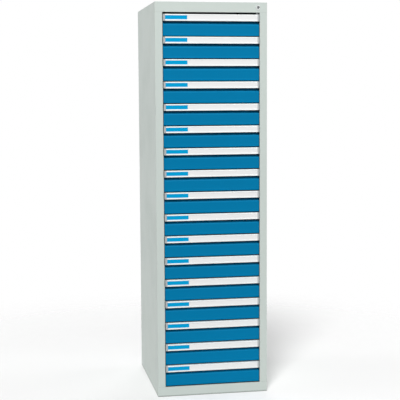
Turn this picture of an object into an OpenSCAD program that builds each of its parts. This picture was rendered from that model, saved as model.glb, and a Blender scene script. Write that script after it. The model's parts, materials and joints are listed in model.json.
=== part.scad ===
// Tall parts cabinet: a folded sheet-steel case with a column of equal drawers.
// Millimetres, +Z up. X = 0 is the middle of the width, Y = 0 the middle of the
// depth over case and grips, and Z = 0 the floor. The drawers open towards -Y.

/* [Case] */
// Width over the two side panels
case_w = 514; // [420:1:700]
// Depth from the front frame to the back
case_d = 600; // [480:1:800]
// Thickness of the case sheet
sheet = 1.2; // [0.8:0.1:2]
// Width of the front frame beside the drawers
stile_w = 34; // [32:1:60]
// Height of the front frame above the drawers
header_h = 45; // [40:1:90]
// Height of the front frame below the drawers
footer_h = 45; // [30:1:120]
// Depth of the folds that stiffen the front frame
lip_d = 15; // [8:0.5:25]
// Width of the folds that hold the back panel
back_fold = 20; // [12:1:30]
// Gap between the header and the top grip
head_gap = 10; // [4:0.5:30]

/* [Drawers] */
// Number of drawers
drawer_count = 17; // [2:1:17]
// Distance from one drawer to the next
drawer_pitch = 100; // [92:1:140]
// Gap between a drawer front and the grip below it
seam = 4.5; // [2:0.5:8]
// Gap between a drawer front and the frame on each side
side_gap = 2.5; // [1:0.1:3]
// How far the drawer face lies behind the frame
face_set = 3; // [0:0.5:6]
// Thickness of the drawer front's sheet
front_sheet = 1; // [0.8:0.1:1.5]
// How far the front slopes back under the grip
pull_d = 9; // [5:0.5:9]
// Height of that slope
pull_h = 18; // [10:1:26]
// How far the tray's rim lies below the top of its grip
rim_down = 18; // [12:0.5:24]
// Thickness of the tray's sheet
tray_sheet = 1; // [0.8:0.1:1.5]
// Height of the tray's floor above the bottom of its bay
tray_up = 6; // [5:0.5:8]
// Space between the trays and the back panel
back_space = 48; // [20:1:80]

/* [Grips] */
// Height of the grip strip
grip_h = 30; // [26:0.5:34]
// Depth of the grip strip
grip_d = 19; // [14:0.5:26]
// Wall of the hollow strip
grip_wall = 1.5; // [1:0.1:2.5]
// Height of the lip above the label
label_top_lip = 4.5; // [3:0.5:6]
// Height of the lip below the label
label_low_lip = 6; // [3:0.5:8]
// Depth of the label channel
label_channel = 1.4; // [0.8:0.1:2]
// Thickness of the label cards
card_t = 0.6; // [0.2:0.1:0.7]
// Length of the coloured card at the left end
tab_card = 100; // [40:1:160]
// Length of each end cap
cap_w = 9; // [5:0.5:16]
// How far a cap's tongue reaches into the strip
cap_tongue = 8; // [4:0.5:20]
// How far the strip hooks over the drawer front
grip_hook = 3; // [2:0.1:3]

/* [Runners] */
// Space on each side of the tray for its runners
runner_space = 13.5; // [12:0.5:18]
// Height of a rail's underside above the bottom of its bay
rail_up = 20; // [12:0.5:24]
// Outer height of a rail
rail_h = 15; // [12:0.5:16]
// Thickness of the rails and runners
rail_sheet = 1.5; // [1:0.1:2]
// Width of the rail's flanges
rail_w = 12; // [10:0.5:14]
// How far the rails reach behind the stiles
rail_set = 3; // [2.6:0.1:6]
// Gap between the trays' runners and the stiles that they pass
runner_pass = 1; // [0.5:0.1:1.5]
// Length of the rail behind the tray
rail_past = 12; // [0:1:18]
// Length of a tray's runner that stays in its rail when the drawer is open
runner_hold = 120; // [60:5:250]
// Length of the stops on the runners
stop_l = 6; // [3:0.5:12]
// Width of the posts that carry the rails
post_w = 30; // [20:1:45]
// Thickness of the posts
post_sheet = 1.5; // [1:0.1:2.5]
// Height of the slots in the posts
slot_h = 12; // [6:1:14]
// Width of the slots in the posts
slot_w = 4; // [2:0.5:8]

/* [Lock] */
// Distance from the lock's middle to the edge of the drawer opening
lock_in = 7; // [5:0.5:12]
// Radius of the turning plug
plug_r = 7; // [5:0.5:7.5]
// Wall of the lock's housing
housing_wall = 2.4; // [1.5:0.1:3]
// Width of the housing's collar round the hole
collar_w = 1.6; // [1:0.1:4]
// How far the collar stands in front of the frame
collar_t = 2; // [1:0.1:4]
// Distance of the crank pin from the lock's middle
crank_r = 8.5; // [7:0.1:9]
// Radius of the crank pin
pin_r = 2.5; // [2:0.1:3]
// Width of the keyway
key_w = 2; // [1:0.1:3]
// Thickness of the lock bar
bar_t = 2; // [1.5:0.1:3]
// Gap between the front frame and the lock bar
bar_set = 6; // [2:0.5:12]
// How far the lock bar reaches behind the trays' lugs
bar_past = 1.3; // [0.5:0.1:3]
// Height of the bar's fingers and of the trays' lugs
finger_h = 10; // [9:0.5:11]
// Thickness of the bar's fingers
finger_t = 4; // [2:0.5:5]
// Thickness of the trays' lugs
lug_t = 5; // [3:0.5:6]
// Height of the lug above the bottom of its bay
lug_up = 57; // [54:0.5:60]

/* [Fixing holes] */
// Diameter of the floor anchor holes
anchor_hole = 11; // [7:0.5:14]
// Distance of the anchor holes from the side panels
anchor_in_x = 55.8; // [40:0.1:80]
// Distance of the anchor holes from the front and the back
anchor_in_y = 60; // [55:1:90]
// Diameter of the wall fixing holes
wall_hole = 9; // [5:0.5:12]
// Distance between the wall fixing holes
wall_spacing = 300; // [200:1:350]
// Distance of the wall fixing holes below the top
wall_down = 70; // [50:1:150]

/* [Fits] */
// Gap between two pieces that slide on each other
slide_fit = 0.3; // [0.2:0.05:0.4]
// Radial gap of the plug in its housing
turn_fit = 0.08; // [0.03:0.01:0.1]
// Gap above and below the crank pin in its slot
pin_fit = 0.5; // [0.4:0.05:0.7]
// Gap between a cap's tongue and the strip
tongue_fit = 0.2; // [0.1:0.05:0.4]
// Gap between the separate sheets, cards and tabs of one drawer or bar
seat_fit = 0.1; // [0.05:0.01:0.2]
// Play between a locked finger and its lug, and between finger and frame
lock_play = 2; // [1.5:0.1:3]

/* [Hidden] */
$fn = 64;
// How far a cut reaches past a face, and one block of a sheet piece into the next
over = 1;

// Case
case_h = footer_h + drawer_count * drawer_pitch + head_gap + header_h;
// How far the grips stand in front of the frame
grip_out = grip_d - pull_d - face_set;
front_y = (grip_out - case_d) / 2;
back_y = front_y + case_d;
frame_back_y = front_y + sheet;
plate_back_y = back_y - 2 * sheet;
side_in = case_w / 2 - sheet;
open_w = case_w - 2 * stile_w;
open_top = case_h - header_h;
lip_back_y = front_y + lip_d;

// Drawers
// Width of the folds behind the drawer front, in sheet thicknesses
fold_sheets = 3;
front_w = open_w - 2 * side_gap;
tray_w = open_w - 2 * runner_space;
face_y = front_y + face_set;
recess_y = face_y + pull_d;
tray_y = recess_y + front_sheet;
tray_back_y = plate_back_y - back_space;
grip_low = drawer_pitch - grip_h;
front_top = drawer_pitch - grip_wall - slide_fit;
grip_front_y = recess_y - grip_d;
channel_y = grip_front_y + label_channel;
strip_w = front_w - 2 * cap_w;
label_low = grip_low + label_low_lip;
label_top = drawer_pitch - label_top_lip;
fold_back_y = recess_y + fold_sheets * front_sheet;
tray_h = drawer_pitch - tray_up - rim_down;

// Lock bar and its fingers
// Gap beside the trays and beside the opening's edge that fingers and lugs leave
finger_clear = 3.5;
lug_clear = 4;
// How far a finger stands below its lug when unlocked
finger_drop = 3;
// Height of the bar's lower end above the footer
bar_foot = 15;
// Gap between the bar's upper end and the crank above it
bar_clear = 2;
finger_y = max(lip_back_y, fold_back_y) + lock_play;
lug_y = finger_y + finger_t + lock_play;
bar_back_y = lug_y + lug_t + bar_past;
bar_y = frame_back_y + bar_set;
bar_x = open_w / 2 + sheet + slide_fit;
finger_x = tray_w / 2 + finger_clear;
lug_x = open_w / 2 - lug_clear;
// The crank turns a quarter turn, as far below its middle as above it
stroke = 2 * crank_r * sin(45);
finger_up = lug_up - finger_h - finger_drop;
lock_x = open_w / 2 - lock_in;
lock_z = case_h - header_h / 2;
housing_r = plug_r + turn_fit + housing_wall;
// Crank disc: its thickness, and its rim outside the pin
crank_t = 3;
crank_rim = 1;
crank_disc_r = crank_r + pin_r + crank_rim;
// Slotted head of the bar: sheet, gaps to the housing and crank, frame round the slot, lap on the bar
head_t = 2;
housing_end = 1;
head_clear = 0.5;
head_rim = 3;
head_rise = 5;
head_lap = 16;
slot_past = 1;
slot_half = pin_r + pin_fit;
head_y = bar_back_y - head_t;
crank_y = head_y - head_clear - crank_t;
pin_past = 1;
pin_end_y = bar_back_y + pin_past;
pin_x = lock_x + crank_r * cos(45);
pin_z = lock_z - crank_r * sin(45);
bar_top = lock_z - crank_disc_r - stroke - bar_clear;
bar_low = footer_h + bar_foot;
head_low = bar_top - head_lap;
head_top = pin_z + slot_half + head_rise;
slot_x = [lock_x + slot_past, lock_x + crank_r + pin_r + slot_past];
// Keyway: its height in plug radii, and its depth
key_share = 1.3;
key_depth = 10;

// Rails and posts
// Heights of the posts' slots above each rail
slot_ups = [18, 38];
// Height of the rail's tab above its underside, in sheet thicknesses
tab_up = 3;
// How far a runner's front lies behind the tray's front
runner_start = 2;
// How far the stops stay clear of the rail's inner edge
stop_clear = 2;
// Gap that is left at the stop when a drawer is fully out
stop_gap = 0.5;
rail_out = open_w / 2 + rail_set;
rail_in = rail_out - rail_w;
rail_y = bar_back_y + slide_fit;
rail_back_y = tray_back_y + rail_past;
post_ys = [rail_y, rail_back_y - post_w];
runner_z = rail_up + rail_sheet + slide_fit;
runner_in = tray_w / 2 + seat_fit;
runner_out = open_w / 2 - runner_pass;
runner_y = tray_y + runner_start;
stop_in = rail_in + stop_clear;
stop_top = rail_up + rail_h - rail_sheet - slide_fit;
travel = tray_back_y - rail_y - runner_hold;
// At the end of its travel the front stop stands just behind the rail's tab
front_stop_y = rail_y + rail_sheet + travel + stop_gap;

function bay_z(k) = footer_h + (drawer_count - k) * drawer_pitch;
function drawer_node(k, piece) = str("drawer_", k < 10 ? "0" : "", k, "_", piece);
drawer_pieces = ["tray", "front", "grip"];
case_nodes = ["left_side", "right_side", "back_panel", "top_panel", "base_panel",
              "runner_posts", "runner_rails", "lock_cylinder", "lock_bar"];

case_grey = "#cbd0cc";
drawer_blue = "#007cb0";
steel = "#b4b8ba";
zinc = "#9aa0a4";
paper = "#f4f5f8";
tab_blue = "#24aae1";

// A box between two limits on each axis
module slab(x, y, z) {
    translate([x[0], y[0], z[0]]) cube([x[1] - x[0], y[1] - y[0], z[1] - z[0]]);
}

// A slab as wide as w, centred on X = 0
module wide_slab(w, y, z) {
    slab([-w / 2, w / 2], y, z);
}

// An outline in Y and Z, drawn out along X
module along_x(x, outline) {
    translate([x[0], 0, 0]) rotate([90, 0, 90]) linear_extrude(x[1] - x[0]) polygon(outline);
}

module both_sides() {
    children();
    mirror([1, 0, 0]) children();
}

// A round bar along Y
module rod(x, z, r, y) {
    translate([x, y[0], z]) rotate([-90, 0, 0]) cylinder(r = r, h = y[1] - y[0]);
}

// Side panel, with the frame's stile, its fold and the fold behind the back panel
module right_side() {
    color(case_grey) {
        slab([side_in, case_w / 2], [frame_back_y, back_y], [0, case_h]);
        slab([open_w / 2, case_w / 2], [front_y, frame_back_y], [footer_h, open_top]);
        slab([open_w / 2, open_w / 2 + sheet], [front_y, lip_back_y], [footer_h, open_top]);
        slab([case_w / 2 - back_fold, case_w / 2], [back_y - sheet, back_y], [0, case_h]);
    }
}

module left_side() {
    mirror([1, 0, 0]) right_side();
}

module back_panel() {
    color(case_grey) difference() {
        wide_slab(2 * side_in, [plate_back_y, back_y - sheet], [0, case_h]);
        for (x = [-1, 1] * wall_spacing / 2)
            rod(x, case_h - wall_down, wall_hole / 2, [plate_back_y - over, back_y]);
    }
}

// Top sheet with the header folded down in front, and the lock's housing
module top_panel() {
    color(case_grey) difference() {
        union() {
            wide_slab(2 * side_in, [frame_back_y, plate_back_y], [case_h - sheet, case_h]);
            wide_slab(case_w, [front_y, frame_back_y], [open_top, case_h]);
            wide_slab(open_w, [front_y, lip_back_y], [open_top, open_top + sheet]);
        }
        rod(lock_x, lock_z, housing_r + turn_fit, [front_y - over, frame_back_y + over]);
    }
    color(steel) difference() {
        union() {
            rod(lock_x, lock_z, housing_r, [front_y - collar_t, crank_y - housing_end]);
            rod(lock_x, lock_z, housing_r + collar_w, [front_y - collar_t, front_y - seat_fit]);
        }
        rod(lock_x, lock_z, plug_r + turn_fit, [front_y - collar_t - over, crank_y]);
    }
}

// Base sheet on the floor, with the footer folded up in front and the anchor holes
module base_panel() {
    color(case_grey) difference() {
        union() {
            wide_slab(2 * side_in, [frame_back_y, plate_back_y], [0, sheet]);
            wide_slab(case_w, [front_y, frame_back_y], [0, footer_h]);
            wide_slab(open_w, [front_y, lip_back_y], [footer_h - sheet, footer_h]);
        }
        for (x = [-1, 1] * (side_in - anchor_in_x), y = [front_y + anchor_in_y, back_y - anchor_in_y])
            translate([x, y, -over]) cylinder(d = anchor_hole, h = sheet + 2 * over);
    }
}

// Four slotted channel posts that stand on the base against the side panels
module runner_posts() {
    color(zinc) both_sides() for (y = post_ys) difference() {
        slab([rail_out, side_in], [y, y + post_w], [sheet, open_top]);
        slab([rail_out + post_sheet, side_in + over], [y + post_sheet, y + post_w - post_sheet],
             [0, open_top + over]);
        for (k = [1 : drawer_count], up = slot_ups)
            slab([rail_out - over, rail_out + post_sheet + over],
                 [y, y + slot_w] + [1, 1] * (post_w - slot_w) / 2,
                 [0, slot_h] + [1, 1] * (bay_z(k) + rail_up + rail_h + up));
    }
}

// One rail of the right-hand side: a channel with a tab that stops the drawer
module rail(z) {
    top = z + rail_h;
    slab([rail_out - rail_sheet, rail_out], [rail_y, rail_back_y], [z, top]);
    slab([rail_in, rail_out], [rail_y, rail_back_y], [z, z + rail_sheet]);
    slab([rail_in, rail_out], [rail_y, rail_back_y], [top - rail_sheet, top]);
    slab([stop_in, rail_out], [rail_y, rail_y + rail_sheet], [z + tab_up * rail_sheet, top]);
}

module runner_rails() {
    color(zinc) both_sides() for (k = [1 : drawer_count]) rail(bay_z(k) + rail_up);
}

// Turning plug with its keyway, and the crank on its inner end
module lock_cylinder() {
    key_h = key_share * plug_r;
    color(steel) difference() {
        union() {
            rod(lock_x, lock_z, plug_r, [front_y - collar_t, crank_y + crank_t]);
            rod(lock_x, lock_z, crank_disc_r, [crank_y, crank_y + crank_t]);
            rod(pin_x, pin_z, pin_r, [crank_y, pin_end_y]);
        }
        slab([-1, 1] * key_w / 2 + [1, 1] * lock_x,
             [front_y - collar_t - over, front_y - collar_t + key_depth],
             [-1, 1] * key_h / 2 + [1, 1] * lock_z);
    }
}

// Bar behind the right stile, with a finger for each drawer
module lock_bar() {
    color(zinc) {
        slab([bar_x, bar_x + bar_t], [bar_y, bar_back_y], [bar_low, bar_top]);
        bar_head();
    }
    color(steel) for (k = [1 : drawer_count])
        slab([finger_x, bar_x - seat_fit], [finger_y, finger_y + finger_t],
             [0, finger_h] + [1, 1] * (bay_z(k) + finger_up));
}

// Slotted plate welded to the bar's upper end, where the crank pin lifts it
module bar_head() {
    head_x = slot_x + [-head_rim, head_rim];
    y = [head_y, bar_back_y];
    difference() {
        union() {
            slab(head_x, y, [bar_top + seat_fit, head_top]);
            slab([head_x[0], bar_x - seat_fit], y, [head_low, bar_top + over]);
        }
        slab(slot_x, y + [-over, over], [-1, 1] * slot_half + [1, 1] * pin_z);
    }
}

// A tray's runner on the right-hand side, with its two stops
module runner(z) {
    slab([runner_in, runner_in + rail_sheet], [runner_y, tray_back_y], [z + runner_z, z + stop_top]);
    slab([runner_in, runner_out], [runner_y, tray_back_y], [z + runner_z, z + runner_z + rail_sheet]);
    for (y = [front_stop_y, tray_back_y - stop_l])
        slab([stop_in, runner_out], [y, y + stop_l], [z + runner_z, z + stop_top]);
}

// Open tray: a floor and four walls, two runners and the lug that the lock bar holds
module drawer_tray(k) {
    z = bay_z(k);
    low = z + tray_up;
    t = tray_sheet;
    wall_z = [low + t + seat_fit, low + tray_h];
    wall_w = tray_w - 2 * t - 2 * seat_fit;
    color(case_grey) {
        wide_slab(tray_w, [tray_y, tray_back_y], [low, low + t]);
        both_sides() slab([tray_w / 2 - t, tray_w / 2], [tray_y, tray_back_y], wall_z);
        wide_slab(wall_w, [tray_y, tray_y + t], wall_z);
        wide_slab(wall_w, [tray_back_y - t, tray_back_y], wall_z);
    }
    color(zinc) {
        both_sides() runner(z);
        slab([runner_in, lug_x], [lug_y, lug_y + lug_t], [0, finger_h] + [1, 1] * (z + lug_up));
    }
}

// Folded sheet front: the face, the slope under the grip and the folds behind them
module drawer_front(k) {
    z = bay_z(k);
    low = z + seam;
    bend = z + grip_low - pull_h;
    slope_end = z + grip_low;
    top = z + front_top;
    t = front_sheet;
    color(drawer_blue) {
        along_x([-front_w / 2, front_w / 2], [
            [face_y, low], [face_y, bend], [recess_y, slope_end], [recess_y, top],
            [recess_y + t, top], [recess_y + t, slope_end], [face_y + t, bend],
            [face_y + t, low + t], [recess_y + t - slide_fit, low + t], [recess_y + t - slide_fit, low]
        ]);
        both_sides() along_x([front_w / 2 - t, front_w / 2], [
            [face_y, low], [face_y, bend], [recess_y, slope_end], [recess_y, top],
            [fold_back_y, top], [fold_back_y, low]
        ]);
    }
}

// Hollow grip strip with its hook over the front, two label cards and two end caps
module drawer_grip(k) {
    z = bay_z(k);
    w = grip_wall;
    top = z + drawer_pitch;
    inner_y = [channel_y + w, recess_y - w];
    inner_z = [z + grip_low + w, top - w];
    channel_z = [z + label_low, z + label_top];
    card_y = [channel_y - card_t - seat_fit, channel_y - seat_fit];
    card_z = channel_z + [1, -1] * seat_fit;
    card_split = tab_card - strip_w / 2;
    color(steel) difference() {
        union() {
            wide_slab(strip_w, [grip_front_y, recess_y], [z + grip_low, top]);
            wide_slab(strip_w, [grip_front_y, recess_y + grip_hook], [top - w, top]);
        }
        wide_slab(strip_w + 2 * over, [grip_front_y - over, channel_y], channel_z);
        wide_slab(strip_w + 2 * over, inner_y, inner_z);
    }
    color(tab_blue) slab([-strip_w / 2, card_split], card_y, card_z);
    color(paper) slab([card_split + seat_fit, strip_w / 2], card_y, card_z);
    color(case_grey) both_sides() {
        slab([strip_w / 2 + seat_fit, front_w / 2], [grip_front_y, recess_y], [z + grip_low, top]);
        slab([strip_w / 2 - cap_tongue, strip_w / 2 + over], inner_y + [1, -1] * tongue_fit,
             inner_z + [1, -1] * tongue_fit);
    }
}

left_side();
right_side();
back_panel();
top_panel();
base_panel();
runner_posts();
runner_rails();
lock_cylinder();
lock_bar();
for (k = [1 : drawer_count]) {
    drawer_tray(k);
    drawer_front(k);
    drawer_grip(k);
}
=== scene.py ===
import json
import math

import bmesh
import bpy
from mathutils import Matrix, Vector

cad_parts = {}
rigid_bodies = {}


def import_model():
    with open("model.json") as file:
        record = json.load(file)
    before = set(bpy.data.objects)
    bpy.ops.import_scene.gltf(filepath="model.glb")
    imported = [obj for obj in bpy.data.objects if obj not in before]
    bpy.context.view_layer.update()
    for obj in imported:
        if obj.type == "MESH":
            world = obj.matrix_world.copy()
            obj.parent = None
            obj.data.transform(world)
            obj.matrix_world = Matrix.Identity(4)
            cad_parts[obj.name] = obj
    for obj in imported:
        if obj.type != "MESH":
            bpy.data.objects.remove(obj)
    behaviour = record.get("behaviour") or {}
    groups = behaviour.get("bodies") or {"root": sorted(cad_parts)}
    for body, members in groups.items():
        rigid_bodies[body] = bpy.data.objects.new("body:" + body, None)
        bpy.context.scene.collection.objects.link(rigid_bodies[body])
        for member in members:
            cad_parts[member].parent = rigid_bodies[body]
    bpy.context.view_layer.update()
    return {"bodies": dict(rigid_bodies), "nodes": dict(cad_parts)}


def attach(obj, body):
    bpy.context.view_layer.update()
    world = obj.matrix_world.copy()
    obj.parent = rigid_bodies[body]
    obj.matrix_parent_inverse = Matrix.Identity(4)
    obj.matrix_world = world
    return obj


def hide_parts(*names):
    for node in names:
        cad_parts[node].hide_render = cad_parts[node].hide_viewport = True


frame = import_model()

nodes = frame["nodes"]
drawerNames = sorted(name for name in frame["bodies"] if name.startswith("drawer_"))
print("frame loaded:", len(nodes), "nodes,", len(drawerNames), "drawers")


# Place in metres, angles in degrees: yaw turns right, pitch looks down
camera = dict(place=(-0.9155, -4.9543, 1.3883), yaw=10.446, pitch=5.781, roll=-0.319,
              lens=93.96, sensor=36.0, near=0.1, far=60.0)


def aimCamera(spec):
    yaw, pitch, roll = (math.radians(spec[key]) for key in ("yaw", "pitch", "roll"))
    forward = Vector((math.sin(yaw) * math.cos(pitch), math.cos(yaw) * math.cos(pitch), -math.sin(pitch)))
    right = Vector((math.cos(yaw), -math.sin(yaw), 0))
    up = right.cross(forward)
    turnedRight = right * math.cos(roll) + up * math.sin(roll)
    turnedUp = up * math.cos(roll) - right * math.sin(roll)
    data = bpy.data.cameras.new("camera")
    data.sensor_width = spec["sensor"]
    data.lens = spec["lens"]
    data.clip_start = spec["near"]
    data.clip_end = spec["far"]
    obj = bpy.data.objects.new("camera", data)
    axes = Matrix((turnedRight, turnedUp, -forward)).transposed().to_4x4()
    obj.matrix_world = Matrix.Translation(spec["place"]) @ axes
    bpy.context.scene.collection.objects.link(obj)
    bpy.context.scene.camera = obj


aimCamera(camera)
print("camera placed")


def feed(tree, socket, value):
    # Another socket is linked, a plain value is set
    if isinstance(value, bpy.types.NodeSocket):
        tree.links.new(value, socket)
    else:
        socket.default_value = value


def addNode(tree, kind, inputs=None, **settings):
    node = tree.nodes.new(kind)
    for name, value in settings.items():
        setattr(node, name, value)
    for name, value in (inputs or {}).items():
        feed(tree, node.inputs[name], value)
    return node


def compute(tree, operation, first, second, clamp=False):
    node = addNode(tree, "ShaderNodeMath", {0: first, 1: second}, operation=operation, use_clamp=clamp)
    return node.outputs["Value"]


def rescale(tree, value, fromLow, fromHigh, toLow=0.0, toHigh=1.0):
    spread = {"Value": value, "From Min": fromLow, "From Max": fromHigh, "To Min": toLow, "To Max": toHigh}
    return addNode(tree, "ShaderNodeMapRange", spread).outputs["Result"]


def blendColor(tree, factor, first, second, mode="MIX"):
    mix = addNode(tree, "ShaderNodeMix", data_type="RGBA", blend_type=mode)
    for number, value in ((0, factor), (6, first), (7, second)):  # its sockets for colours
        feed(tree, mix.inputs[number], value)
    return mix.outputs[2]


def opaque(color):
    return (*color, 1)


def greyOf(tree, value):
    return addNode(tree, "ShaderNodeCombineColor", {0: value, 1: value, 2: value}).outputs[0]


def objectPlace(tree):
    return addNode(tree, "ShaderNodeTexCoord").outputs["Object"]


def noise(tree, place, scale, detail=2.0, rough=0.5):
    pattern = {"Vector": place, "Scale": scale, "Detail": detail, "Roughness": rough}
    return addNode(tree, "ShaderNodeTexNoise", pattern).outputs["Fac"]


def weigh(tree, first, share, second, otherShare):
    weighed = compute(tree, "MULTIPLY", first, share)
    return compute(tree, "ADD", weighed, compute(tree, "MULTIPLY", second, otherShare))


noiseMiddle = 0.5  # a noise pattern swings around this value


def swing(tree, pattern, spread):
    return compute(tree, "MULTIPLY", compute(tree, "SUBTRACT", pattern, noiseMiddle), spread)


def startGroup(name, inputs, outputs):
    group = bpy.data.node_groups.new(name, "ShaderNodeTree")
    for label, start in inputs.items():
        kind = "NodeSocketFloat" if isinstance(start, (int, float)) else "NodeSocketVector"
        group.interface.new_socket(label, in_out="INPUT", socket_type=kind).default_value = start
    for label in outputs:
        group.interface.new_socket(label, in_out="OUTPUT", socket_type="NodeSocketFloat")
    return group, group.nodes.new("NodeGroupInput").outputs, group.nodes.new("NodeGroupOutput").inputs


def useGroup(tree, group, **values):
    node = addNode(tree, "ShaderNodeGroup", node_tree=group)
    for label, value in values.items():
        feed(tree, node.inputs[label.replace("_", " ")], value)
    return node.outputs


# Powder coat: fine peel, slow drift of tone, and wiped smudges
skin = dict(fineDetail=1.5, fineShare=0.55, broadScale=0.35, broadDetail=1.0, broadShare=0.45,
            driftScale=2.3, driftDetail=3.0, driftGain=4.0,
            smudgeDetail=5.0, smudgeRough=0.62, smudgeRange=(0.42, 0.68))


def makeCoatSkin(look):
    inputs = {"Peel Scale": 900.0, "Drift": 0.02, "Smudge Scale": 7.0}
    group, given, made = startGroup("coatSkin", inputs, ("Tone", "Peel", "Smudge"))
    place = objectPlace(group)
    fine = noise(group, place, given["Peel Scale"], look["fineDetail"])
    broadScale = compute(group, "MULTIPLY", given["Peel Scale"], look["broadScale"])
    broad = noise(group, place, broadScale, look["broadDetail"])
    group.links.new(weigh(group, fine, look["fineShare"], broad, look["broadShare"]), made["Peel"])
    slow = noise(group, place, look["driftScale"], look["driftDetail"])
    drift = swing(group, slow, compute(group, "MULTIPLY", given["Drift"], look["driftGain"]))
    speckle = swing(group, fine, given["Drift"])
    group.links.new(compute(group, "ADD", compute(group, "ADD", drift, speckle), 1.0), made["Tone"])
    wiped = noise(group, place, given["Smudge Scale"], look["smudgeDetail"], look["smudgeRough"])
    group.links.new(rescale(group, wiped, *look["smudgeRange"]), made["Smudge"])
    return group


# Paint or metal rubbed where the shape turns an edge, broken up along it
rubbing = dict(samples=4, turnRange=(0.995, 0.86), patchDetail=4.0, patchRough=0.6, patchRange=(0.45, 0.62))


def makeEdgeRub(look):
    inputs = {"Radius": 0.0012, "Break Scale": 60.0, "Amount": 1.0}
    group, given, made = startGroup("edgeRub", inputs, ("Mask",))
    rounded = addNode(group, "ShaderNodeBevel", {"Radius": given["Radius"]}, samples=look["samples"])
    plain = addNode(group, "ShaderNodeNewGeometry")
    normals = {0: rounded.outputs["Normal"], 1: plain.outputs["Normal"]}
    match = addNode(group, "ShaderNodeVectorMath", normals, operation="DOT_PRODUCT")
    edge = rescale(group, match.outputs["Value"], *look["turnRange"])
    patches = noise(group, objectPlace(group), given["Break Scale"], look["patchDetail"], look["patchRough"])
    broken = compute(group, "MULTIPLY", edge, rescale(group, patches, *look["patchRange"]))
    group.links.new(compute(group, "MULTIPLY", broken, given["Amount"], True), made["Mask"])
    return group


# Fine dust that lies on faces that look up
dustFall = dict(upRange=(0.55, 0.98), thinnest=0.35,
                clumpDetail=6.0, clumpRough=0.65, clumpRange=(0.35, 0.75))


def makeDust(look):
    group, given, made = startGroup("restingDust", {"Amount": 0.3, "Clump Scale": 45.0}, ("Mask",))
    normal = addNode(group, "ShaderNodeNewGeometry").outputs["Normal"]
    upward = addNode(group, "ShaderNodeSeparateXYZ", {0: normal}).outputs["Z"]
    flat = rescale(group, upward, *look["upRange"])
    clumps = noise(group, objectPlace(group), given["Clump Scale"], look["clumpDetail"], look["clumpRough"])
    lying = compute(group, "MULTIPLY", flat, rescale(group, clumps, *look["clumpRange"], look["thinnest"]))
    group.links.new(compute(group, "MULTIPLY", lying, given["Amount"], True), made["Mask"])
    return group


# Painted shade: colour darkened in narrow grooves and gaps, where little light reaches
gaps = dict(samples=8)


def makePaintedGapShade(look):
    inputs = {"Reach": 0.02, "Open": 0.80, "Closed": 0.50, "Amount": 1.0}
    group, given, made = startGroup("paintedGapShade", inputs, ("Mask",))
    reach = {"Distance": given["Reach"]}
    hidden = addNode(group, "ShaderNodeAmbientOcclusion", reach, samples=look["samples"]).outputs["AO"]
    depth = rescale(group, hidden, given["Open"], given["Closed"])
    group.links.new(compute(group, "MULTIPLY", depth, given["Amount"], True), made["Mask"])
    return group


# Fine lines along the direction in which metal was rolled, drawn or brushed
drawing = dict(lineScale=1.0, lineDetail=3.0, lineRough=0.6, lineShare=0.7,
               wideScale=0.21, wideDetail=2.0, wideShare=0.3, toneGain=4.0)


def makeDrawnGrain(look):
    inputs = {"Stretch": (8.0, 500.0, 500.0), "Spread": 0.06}
    group, given, made = startGroup("drawnGrain", inputs, ("Tone", "Height"))
    stretched = {"Vector": objectPlace(group), "Scale": given["Stretch"]}
    along = addNode(group, "ShaderNodeMapping", stretched).outputs["Vector"]
    lines = noise(group, along, look["lineScale"], look["lineDetail"], look["lineRough"])
    wide = noise(group, along, look["wideScale"], look["wideDetail"])
    both = weigh(group, lines, look["lineShare"], wide, look["wideShare"])
    group.links.new(both, made["Height"])
    tone = swing(group, both, compute(group, "MULTIPLY", given["Spread"], look["toneGain"]))
    group.links.new(compute(group, "ADD", tone, 1.0), made["Tone"])
    return group


# Paper or moulded grain: speckle with short fibres
fibres = dict(speckDetail=3.0, speckRough=0.6, speckShare=0.5, lengthen=(0.3, 1.0, 1.0),
              strandScale=0.4, strandDetail=4.0, strandRough=0.7, strandShare=0.5, toneGain=3.0)


def makeFibre(look):
    group, given, made = startGroup("shortFibre", {"Grain": 1400.0, "Spread": 0.03}, ("Tone", "Height"))
    place = objectPlace(group)
    speck = noise(group, place, given["Grain"], look["speckDetail"], look["speckRough"])
    lengthened = {"Vector": place, "Scale": look["lengthen"]}
    along = addNode(group, "ShaderNodeMapping", lengthened).outputs["Vector"]
    strandScale = compute(group, "MULTIPLY", given["Grain"], look["strandScale"])
    strand = noise(group, along, strandScale, look["strandDetail"], look["strandRough"])
    both = weigh(group, speck, look["speckShare"], strand, look["strandShare"])
    group.links.new(both, made["Height"])
    tone = swing(group, both, compute(group, "MULTIPLY", given["Spread"], look["toneGain"]))
    group.links.new(compute(group, "ADD", tone, 1.0), made["Tone"])
    return group


coatSkin = makeCoatSkin(skin)
edgeRub = makeEdgeRub(rubbing)
restingDust = makeDust(dustFall)
paintedGapShade = makePaintedGapShade(gaps)
drawnGrain = makeDrawnGrain(drawing)
shortFibre = makeFibre(fibres)


def startMaterial(name, **settings):
    material = bpy.data.materials.new(name)
    material.use_nodes = True
    tree = material.node_tree
    shader = tree.nodes["Principled BSDF"]
    for label, value in settings.items():
        shader.inputs[label.replace("_", " ")].default_value = value
    return material, tree, shader


def tint(tree, color, tone):
    return blendColor(tree, 1.0, opaque(color), greyOf(tree, tone), "MULTIPLY")


def rubEdges(tree, color, look):
    rub = useGroup(tree, edgeRub, Radius=look["rubRadius"], Break_Scale=look["rubBreak"], Amount=look["rub"])
    return blendColor(tree, rub["Mask"], color, opaque(look["rubColor"]))


def dressShader(tree, shader, color, roughness, height, depth):
    tree.links.new(color, shader.inputs["Base Color"])
    tree.links.new(roughness, shader.inputs["Roughness"])
    relief = addNode(tree, "ShaderNodeBump", {"Height": height, "Distance": depth, "Strength": 1.0})
    tree.links.new(relief.outputs["Normal"], shader.inputs["Normal"])


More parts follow.
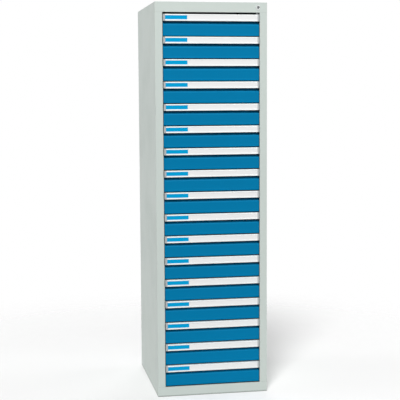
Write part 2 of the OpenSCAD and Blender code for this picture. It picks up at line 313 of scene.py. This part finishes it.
def powderCoat(name, paint):
    material, tree, shader = startMaterial(name, Specular_IOR_Level=paint["gloss"])
    coat = useGroup(tree, coatSkin, Peel_Scale=paint["peelScale"], Drift=paint["drift"],
                    Smudge_Scale=paint["smudgeScale"])
    dust = useGroup(tree, restingDust, Amount=paint["dust"])["Mask"]
    # Painted shade: the colour is darkened towards a dark colour in grooves and gaps, by how closed in each
    # point is
    paintedShade = useGroup(tree, paintedGapShade, Reach=paint["paintedShadeReach"], Amount=paint["paintedShade"])["Mask"]
    handled = compute(tree, "MULTIPLY", coat["Smudge"], paint["smudge"])
    color = tint(tree, paint["color"], coat["Tone"])
    color = blendColor(tree, handled, color, opaque(paint["smudgeColor"]))
    color = rubEdges(tree, color, paint)
    color = blendColor(tree, dust, color, opaque(paint["dustColor"]))
    color = blendColor(tree, paintedShade, color, opaque(paint["paintedShadeColor"]))
    dulling = compute(tree, "ADD", coat["Smudge"], dust)
    dull = rescale(tree, dulling, 0.0, paint["dullest"], *paint["roughness"])
    dressShader(tree, shader, color, dull, coat["Peel"], paint["peelDepth"])
    return material


# Radii, reach and depths in metres, scales per metre; a paint is dullest where smudge and dust add up to
# that; the last colour of each paint is painted shade for grooves and gaps
casePaint = powderCoat("casePaint", dict(
    color=(0.636, 0.706, 0.667), gloss=0.30, roughness=(0.42, 0.58), dullest=1.3,
    peelScale=750.0, peelDepth=0.00006, drift=0.012,
    smudgeScale=5.0, smudge=0.05, smudgeColor=(0.50, 0.53, 0.50),
    rub=0.35, rubRadius=0.0014, rubBreak=70.0, rubColor=(0.80, 0.83, 0.81),
    dust=0.20, dustColor=(0.60, 0.60, 0.57),
    paintedShade=0.80, paintedShadeReach=0.012, paintedShadeColor=(0.05, 0.055, 0.055)))
drawerPaint = powderCoat("drawerPaint", dict(
    color=(0.0003, 0.205, 0.425), gloss=0.05, roughness=(0.44, 0.60), dullest=1.3,
    peelScale=800.0, peelDepth=0.00006, drift=0.03,
    smudgeScale=9.0, smudge=0.07, smudgeColor=(0.004, 0.150, 0.335),
    rub=0.30, rubRadius=0.0012, rubBreak=70.0, rubColor=(0.05, 0.30, 0.52),
    dust=0.10, dustColor=(0.20, 0.32, 0.42),
    paintedShade=0.72, paintedShadeReach=0.018, paintedShadeColor=(0.0002, 0.012, 0.025)))
trayPaint = powderCoat("trayPaint", dict(
    color=(0.600, 0.640, 0.615), gloss=0.30, roughness=(0.44, 0.62), dullest=1.3,
    peelScale=700.0, peelDepth=0.00005, drift=0.02,
    smudgeScale=11.0, smudge=0.14, smudgeColor=(0.42, 0.44, 0.42),
    rub=0.5, rubRadius=0.0010, rubBreak=70.0, rubColor=(0.72, 0.74, 0.73),
    dust=0.28, dustColor=(0.50, 0.49, 0.46),
    paintedShade=0.55, paintedShadeReach=0.010, paintedShadeColor=(0.10, 0.10, 0.095)))


def zincCoat(name, zinc):
    material, tree, shader = startMaterial(name, Metallic=1.0)
    cells = addNode(tree, "ShaderNodeTexVoronoi",
                    {"Vector": objectPlace(tree), "Scale": zinc["spangle"], "Randomness": 1.0})
    spangle = addNode(tree, "ShaderNodeSeparateColor", {0: cells.outputs["Color"]}).outputs[0]
    grain = useGroup(tree, drawnGrain, Stretch=zinc["stretch"], Spread=zinc["spread"])
    tone = compute(tree, "MULTIPLY", grain["Tone"], rescale(tree, spangle, 0.0, 1.0, *zinc["spangleTone"]))
    color = rubEdges(tree, tint(tree, zinc["color"], tone), zinc)
    dull = rescale(tree, spangle, 0.0, 1.0, *zinc["roughness"])
    dressShader(tree, shader, color, dull, grain["Height"], zinc["depth"])
    return material


zincSteel = zincCoat("zincSteel", dict(
    color=(0.60, 0.62, 0.63), roughness=(0.30, 0.44), spangle=90.0, spangleTone=(0.90, 1.08),
    stretch=(300.0, 12.0, 300.0), spread=0.05, depth=0.00003,
    rub=0.5, rubRadius=0.0010, rubBreak=50.0, rubColor=(0.75, 0.76, 0.77)))


patternRange = (0.25, 0.75)  # where most of a grain or fibre pattern lies


def drawnMetal(name, metal):
    material, tree, shader = startMaterial(name, Metallic=metal["metallic"])
    grain = useGroup(tree, drawnGrain, Stretch=metal["stretch"], Spread=metal["spread"])
    color = rubEdges(tree, tint(tree, metal["color"], grain["Tone"]), metal)
    dull = rescale(tree, grain["Height"], *patternRange, *metal["roughness"])
    dressShader(tree, shader, color, dull, grain["Height"], metal["depth"])
    return material


stripMetal = drawnMetal("stripMetal", dict(
    color=(0.88, 0.905, 0.90), metallic=0.35, roughness=(0.34, 0.48),
    stretch=(5.0, 900.0, 900.0), spread=0.03, depth=0.00002,
    rub=0.5, rubRadius=0.0008, rubBreak=90.0, rubColor=(0.95, 0.96, 0.96)))
lockMetal = drawnMetal("lockMetal", dict(
    color=(0.62, 0.65, 0.64), metallic=0.8, roughness=(0.24, 0.38),
    stretch=(700.0, 9.0, 700.0), spread=0.04, depth=0.00001,
    rub=0.4, rubRadius=0.0008, rubBreak=90.0, rubColor=(0.74, 0.76, 0.75)))
# The plug's dark colour is partly its own dark metal and partly painted shade round the lock
plugMetalAndPaintedShade = drawnMetal("plugMetalAndPaintedShade", dict(
    color=(0.20, 0.21, 0.215), metallic=1.0, roughness=(0.28, 0.42),
    stretch=(700.0, 9.0, 700.0), spread=0.05, depth=0.00001,
    rub=0.6, rubRadius=0.0008, rubBreak=90.0, rubColor=(0.46, 0.47, 0.48)))


def fibreFinish(name, stock):
    material, tree, shader = startMaterial(name, Specular_IOR_Level=stock["gloss"])
    fibre = useGroup(tree, shortFibre, Grain=stock["grain"], Spread=stock["spread"])
    color = rubEdges(tree, tint(tree, stock["color"], fibre["Tone"]), stock)
    dull = rescale(tree, fibre["Height"], *patternRange, *stock["roughness"])
    dressShader(tree, shader, color, dull, fibre["Height"], stock["depth"])
    return material


labelPaper = fibreFinish("labelPaper", dict(
    color=(0.925, 0.93, 0.925), gloss=0.25, roughness=(0.62, 0.80), grain=1600.0, spread=0.02, depth=0.00003,
    rub=0.35, rubRadius=0.0006, rubBreak=120.0, rubColor=(0.78, 0.77, 0.73)))
tabPaper = fibreFinish("tabPaper", dict(
    color=(0.001, 0.380, 0.730), gloss=0.03, roughness=(0.50, 0.68), grain=1500.0, spread=0.05, depth=0.00003,
    rub=0.45, rubRadius=0.0008, rubBreak=120.0, rubColor=(0.05, 0.40, 0.68)))
capPlastic = fibreFinish("capPlastic", dict(
    color=(0.470, 0.495, 0.500), gloss=0.4, roughness=(0.42, 0.60), grain=900.0, spread=0.05, depth=0.00004,
    rub=0.3, rubRadius=0.0010, rubBreak=120.0, rubColor=(0.52, 0.55, 0.55)))
print("finishes made:", len(bpy.data.materials))


# Lengths in metres, angles in degrees
brokenEdges = dict(joinWithin=0.00001, flatWithin=0.5, breakFrom=20, steps=2, shadeUpTo=50, faceWeight=100)


def makeCornerBreak(limit):
    # Geometry nodes: smooth shading that breaks where an edge turns by more than the limit
    group = bpy.data.node_groups.new("cornerBreak", "GeometryNodeTree")
    for side in ("INPUT", "OUTPUT"):
        group.interface.new_socket("Geometry", in_out=side, socket_type="NodeSocketGeometry")
    given = group.nodes.new("NodeGroupInput").outputs
    made = group.nodes.new("NodeGroupOutput").inputs
    turn = addNode(group, "GeometryNodeInputMeshEdgeAngle").outputs["Unsigned Angle"]
    angles = {0: turn, 1: math.radians(limit)}
    soft = addNode(group, "FunctionNodeCompare", angles, operation="LESS_EQUAL").outputs[0]
    allFaces = {0: given[0], "Shade Smooth": True}
    smooth = addNode(group, "GeometryNodeSetShadeSmooth", allFaces, domain="FACE").outputs[0]
    softEdges = {0: smooth, "Shade Smooth": soft}
    broken = addNode(group, "GeometryNodeSetShadeSmooth", softEdges, domain="EDGE").outputs[0]
    group.links.new(broken, made[0])
    return group


cornerBreak = makeCornerBreak(brokenEdges["shadeUpTo"])


def shadeByAngle(obj):
    obj.modifiers.new("corners", "NODES").node_group = cornerBreak
    shading = obj.modifiers.new("shading", "WEIGHTED_NORMAL")
    shading.keep_sharp = True
    shading.weight = brokenEdges["faceWeight"]


def finishNode(obj, material, edge, wholeFaces=True):
    # Keeps the shape: joined corners, whole flat faces, broken edges and a finish
    obj.data.materials.clear()
    obj.data.materials.append(material)
    obj.modifiers.new("join", "WELD").merge_threshold = brokenEdges["joinWithin"]
    if wholeFaces:
        flat = obj.modifiers.new("flatFaces", "DECIMATE")
        flat.decimate_type = "DISSOLVE"
        flat.angle_limit = math.radians(brokenEdges["flatWithin"])
    rounding = obj.modifiers.new("edges", "BEVEL")
    rounding.width = edge
    rounding.segments = brokenEdges["steps"]
    rounding.limit_method = "ANGLE"
    rounding.angle_limit = math.radians(brokenEdges["breakFrom"])
    rounding.use_clamp_overlap = True
    shadeByAngle(obj)


def splitSolids(node):
    # The node's separate solids, each as (corners, faces), from a copy of its mesh
    mesh = bmesh.new()
    mesh.from_mesh(nodes[node].data)
    bmesh.ops.remove_doubles(mesh, verts=mesh.verts, dist=brokenEdges["joinWithin"])
    mesh.verts.index_update()
    left = set(mesh.verts)
    solids = []
    while left:
        reached = set()
        waiting = [min(left, key=lambda corner: corner.index)]
        while waiting:
            corner = waiting.pop()
            if corner not in reached:
                reached.add(corner)
                waiting.extend(link.other_vert(corner) for link in corner.link_edges)
        left -= reached
        ordered = sorted(reached, key=lambda corner: corner.index)
        order = {corner.index: n for n, corner in enumerate(ordered)}
        itsFaces = [face for face in mesh.faces if face.verts[0] in reached]
        faces = [[order[corner.index] for corner in face.verts] for face in itsFaces]
        solids.append(([corner.co.copy() for corner in ordered], faces))
    mesh.free()
    return solids


def solidBox(solid):
    low = Vector([min(corner[axis] for corner in solid[0]) for axis in range(3)])
    high = Vector([max(corner[axis] for corner in solid[0]) for axis in range(3)])
    return low, high


def solidSpan(solid):
    low, high = solidBox(solid)
    return high - low


def solidWidth(solid):
    return solidSpan(solid).x


def makePiece(name, solids, material, edge, body, node, wholeFaces=True):
    # One piece from some of a node's solids; it stands for that node
    corners, faces = [], []
    for solidCorners, solidFaces in solids:
        faces.extend([len(corners) + n for n in face] for face in solidFaces)
        corners.extend(solidCorners)
    data = bpy.data.meshes.new(name)
    data.from_pydata(corners, [], faces)
    obj = bpy.data.objects.new(name, data)
    bpy.context.scene.collection.objects.link(obj)
    finishNode(obj, material, edge, wholeFaces)
    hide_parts(node)
    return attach(obj, body)


# Widths of the broken edges are in metres here and below
case = dict(sheets=("left_side", "right_side", "back_panel", "base_panel"), sheetEdge=0.0005,
            housingEdge=0.0004, runners=("runner_posts", "runner_rails"), runnerEdge=0.0003)


def makeCase(spec):
    for name in spec["sheets"]:
        finishNode(nodes[name], casePaint, spec["sheetEdge"])
    housing, *sheet = sorted(splitSolids("top_panel"), key=solidWidth)
    makePiece("topSheet", sheet, casePaint, spec["sheetEdge"], "cabinet", "top_panel")
    makePiece("lockHousing", [housing], lockMetal, spec["housingEdge"], "cabinet", "top_panel")
    for name in spec["runners"]:
        finishNode(nodes[name], zincSteel, spec["runnerEdge"])


lock = dict(plugEdge=0.0003, barEdge=0.0003)


def makeLock(spec):
    finishNode(nodes["lock_cylinder"], plugMetalAndPaintedShade, spec["plugEdge"])
    finishNode(nodes["lock_bar"], zincSteel, spec["barEdge"])


# Section of the grip strip, all in metres: label channel with a lip above and below it, and a hook behind
strip = dict(upperLip=0.0045, window=0.0195, lowerLip=0.006, channel=0.0014, wall=0.0015, hook=0.003,
             depth=0.019, nose=0.0008, noseThick=0.0006,
             outerRadius=0.0012, innerRadius=0.0005, noseRadius=0.00027, curveSteps=3)


def roundCorner(points, index, radius, steps):
    before, corner, after = (points[(index + n) % len(points)] for n in (-1, 0, 1))
    start = corner + (before - corner).normalized() * radius
    end = corner + (after - corner).normalized() * radius
    shares = [n / steps for n in range(steps + 1)]
    return [start * (1 - t) ** 2 + corner * 2 * t * (1 - t) + end * t * t for t in shares]


def stripSection(front, top, spec):
    # The outline in (depth, height), and the hollow inside it
    wall, nose = spec["wall"], spec["nose"]
    outer, inner, small = spec["outerRadius"], spec["innerRadius"], spec["noseRadius"]
    channelTop = top - spec["upperLip"]
    channelLow = channelTop - spec["window"]
    low = channelLow - spec["lowerLip"]
    back = front + spec["depth"]
    hookEnd = back + spec["hook"]
    deep = front + spec["channel"]
    nosed = front + spec["noseThick"]
    # Depth, height and rounding radius of each corner
    outline = [
        (front, top, outer), (hookEnd, top, inner), (hookEnd, top - wall, inner), (back, top - wall, 0),
        (back, low, inner), (front, low, outer),
        (front, channelLow + nose, small), (nosed, channelLow + nose, 0), (nosed, channelLow, 0),
        (deep, channelLow, 0), (deep, channelTop, 0), (nosed, channelTop, 0),
        (nosed, channelTop - nose, 0), (front, channelTop - nose, small),
    ]
    points = [Vector(corner[:2]) for corner in outline]
    rounded = []
    for index, corner in enumerate(outline):
        radius = corner[2]
        rounded.extend(roundCorner(points, index, radius, spec["curveSteps"]) if radius else [points[index]])
    near, far = deep + wall, back - wall
    hollow = [(near, top - wall), (near, low + wall), (far, low + wall), (far, top - wall)]
    return rounded, [Vector(point) for point in hollow]


def extrudeSection(name, loops, left, right):
    mesh = bmesh.new()
    borders = []
    for loop in loops:
        corners = [mesh.verts.new((left, point.x, point.y)) for point in loop]
        borders.extend(mesh.edges.new((corners[n - 1], corners[n])) for n in range(len(corners)))
    filled = bmesh.ops.triangle_fill(mesh, edges=borders, use_beauty=True, use_dissolve=False)
    flat = [item for item in filled["geom"] if isinstance(item, bmesh.types.BMFace)]
    grown = bmesh.ops.extrude_face_region(mesh, geom=flat, use_keep_orig=True)
    moved = [item for item in grown["geom"] if isinstance(item, bmesh.types.BMVert)]
    bmesh.ops.translate(mesh, verts=moved, vec=(right - left, 0, 0))
    bmesh.ops.recalc_face_normals(mesh, faces=mesh.faces)
    data = bpy.data.meshes.new(name)
    mesh.to_mesh(data)
    mesh.free()
    return data


def makeStrip(name, solid, body, node):
    low, high = solidBox(solid)
    data = extrudeSection(name, stripSection(low.y, high.z, strip), low.x, high.x)
    data.materials.append(stripMetal)
    obj = bpy.data.objects.new(name, data)
    bpy.context.scene.collection.objects.link(obj)
    shadeByAngle(obj)
    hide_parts(node)
    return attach(obj, body)


# A card is thin and an end cap is narrow; all in metres
grip = dict(thickestCard=0.002, widestCap=0.03, cardEdge=0.0002, capEdge=0.0008)


def makeGrip(drawer, spec):
    node = drawer + "_grip"
    solids = splitSolids(node)
    cards = [solid for solid in solids if solidSpan(solid).y < spec["thickestCard"]]
    caps = [solid for solid in solids if solidWidth(solid) < spec["widestCap"]]
    tab, *labels = sorted(cards, key=solidWidth)
    bar = max((solid for solid in solids if solidSpan(solid).y > spec["thickestCard"]), key=solidWidth)
    makeStrip(drawer + "_strip", bar, drawer, node)
    makePiece(drawer + "_tabCard", [tab], tabPaper, spec["cardEdge"], drawer, node)
    makePiece(drawer + "_labelCard", labels, labelPaper, spec["cardEdge"], drawer, node)
    makePiece(drawer + "_endCaps", caps, capPlastic, spec["capEdge"], drawer, node, wholeFaces=False)


# The floor is wide and the walls are high; the slides and the lug are neither
tray = dict(widerThan=0.1, higherThan=0.05, panEdge=0.0004, slideEdge=0.0003)


def makeTray(drawer, spec):
    node = drawer + "_tray"
    sheets, others = [], []
    for solid in splitSolids(node):
        span = solidSpan(solid)
        isSheet = span.x > spec["widerThan"] or span.z > spec["higherThan"]
        (sheets if isSheet else others).append(solid)
    makePiece(drawer + "_pan", sheets, trayPaint, spec["panEdge"], drawer, node)
    makePiece(drawer + "_slides", others, zincSteel, spec["slideEdge"], drawer, node)


front = dict(edge=0.0004)

makeCase(case)
makeLock(lock)
print("case and lock dressed")
for drawer in drawerNames:
    finishNode(nodes[drawer + "_front"], drawerPaint, front["edge"])
    makeGrip(drawer, grip)
    makeTray(drawer, tray)
print("drawers dressed:", len(drawerNames))


# Lengths in metres; bounceColor is what lights the object, floorColor is what is seen
studio = dict(floorRadius=7.0, floorSides=96, floorBelow=0.0004, fadeFrom=0.7, fadeTo=2.4,
              floorColor=(0.93, 0.93, 0.93), bounceColor=(0.50, 0.50, 0.50),
              floorRoughness=0.9, floorGloss=0.1, mottleScale=3.0, mottleDetail=3.0, mottleDarkest=0.985,
              ambient=0.17)
# Places in metres, power in watts
lamps = [
    dict(name="keyLamp", place=(-2.0, -6.3, 7.6), aim=(0.0, -0.3, 0.9), size=2.6, power=720),
    dict(name="fillLamp", place=(2.4, -4.2, 1.2), aim=(0.0, -0.3, 0.9), size=2.6, power=24),
    dict(name="sideLamp", place=(-4.6, 0.8, 2.2), aim=(0.0, 0.0, 0.8), size=3.0, power=60),
    dict(name="farSideLamp", place=(4.6, 0.8, 2.2), aim=(0.0, 0.0, 0.8), size=3.0, power=70),
    dict(name="topLamp", place=(0.4, 0.6, 4.8), aim=(0.0, 0.0, 1.0), size=2.5, power=4),
    dict(name="rearLamp", place=(1.2, 4.8, 3.0), aim=(0.0, 0.2, 0.9), size=3.0, power=75),
]


def seenWhite(tree):
    # 1 for camera, mirror and glass rays, 0 for the light that falls on the object
    path = addNode(tree, "ShaderNodeLightPath").outputs
    either = compute(tree, "MAXIMUM", path["Is Camera Ray"], path["Is Glossy Ray"])
    return compute(tree, "MAXIMUM", either, path["Is Transmission Ray"])


def makeWorld(spec):
    world = bpy.data.worlds.new("studioWorld")
    bpy.context.scene.world = world
    world.use_nodes = True
    tree = world.node_tree
    background = tree.nodes["Background"]
    background.inputs["Color"].default_value = (1, 1, 1, 1)
    strength = rescale(tree, seenWhite(tree), 0.0, 1.0, spec["ambient"], 1.0)
    tree.links.new(strength, background.inputs["Strength"])


def makeFloor(spec):
    mesh = bmesh.new()
    bmesh.ops.create_circle(mesh, cap_ends=True, segments=spec["floorSides"], radius=spec["floorRadius"])
    data = bpy.data.meshes.new("studioFloor")
    mesh.to_mesh(data)
    mesh.free()
    floor = bpy.data.objects.new("studioFloor", data)
    floor.location.z = -spec["floorBelow"]
    bpy.context.scene.collection.objects.link(floor)
    material, tree, shader = startMaterial("paleFloor", Roughness=spec["floorRoughness"],
                                           Specular_IOR_Level=spec["floorGloss"])
    place = objectPlace(tree)
    mottle = noise(tree, place, spec["mottleScale"], spec["mottleDetail"])
    shade = greyOf(tree, rescale(tree, mottle, 0.0, 1.0, spec["mottleDarkest"], 1.0))
    floorSeen = blendColor(tree, seenWhite(tree), opaque(spec["bounceColor"]), opaque(spec["floorColor"]))
    tree.links.new(blendColor(tree, 1.0, floorSeen, shade, "MULTIPLY"), shader.inputs["Base Color"])
    away = addNode(tree, "ShaderNodeVectorMath", {0: place}, operation="LENGTH").outputs["Value"]
    fading = {"Value": away, "From Min": spec["fadeFrom"], "From Max": spec["fadeTo"]}
    fade = addNode(tree, "ShaderNodeMapRange", fading, interpolation_type="SMOOTHSTEP").outputs["Result"]
    clear = addNode(tree, "ShaderNodeBsdfTransparent").outputs[0]
    mixed = addNode(tree, "ShaderNodeMixShader", {0: fade, 1: shader.outputs[0], 2: clear}).outputs[0]
    tree.links.new(mixed, tree.nodes["Material Output"].inputs["Surface"])
    data.materials.append(material)


def makeLamps(specs):
    for spec in specs:
        data = bpy.data.lights.new(spec["name"], "AREA")
        data.shape = "DISK"
        data.size = spec["size"]
        data.energy = spec["power"]
        obj = bpy.data.objects.new(spec["name"], data)
        obj.location = spec["place"]
        towards = Vector(spec["aim"]) - Vector(spec["place"])
        obj.rotation_euler = towards.to_track_quat("-Z", "Y").to_euler()
        bpy.context.scene.collection.objects.link(obj)


makeWorld(studio)
makeFloor(studio)
makeLamps(lamps)
bpy.context.scene.view_settings.view_transform = "Standard"
print("studio lit with", len(lamps), "lamps")
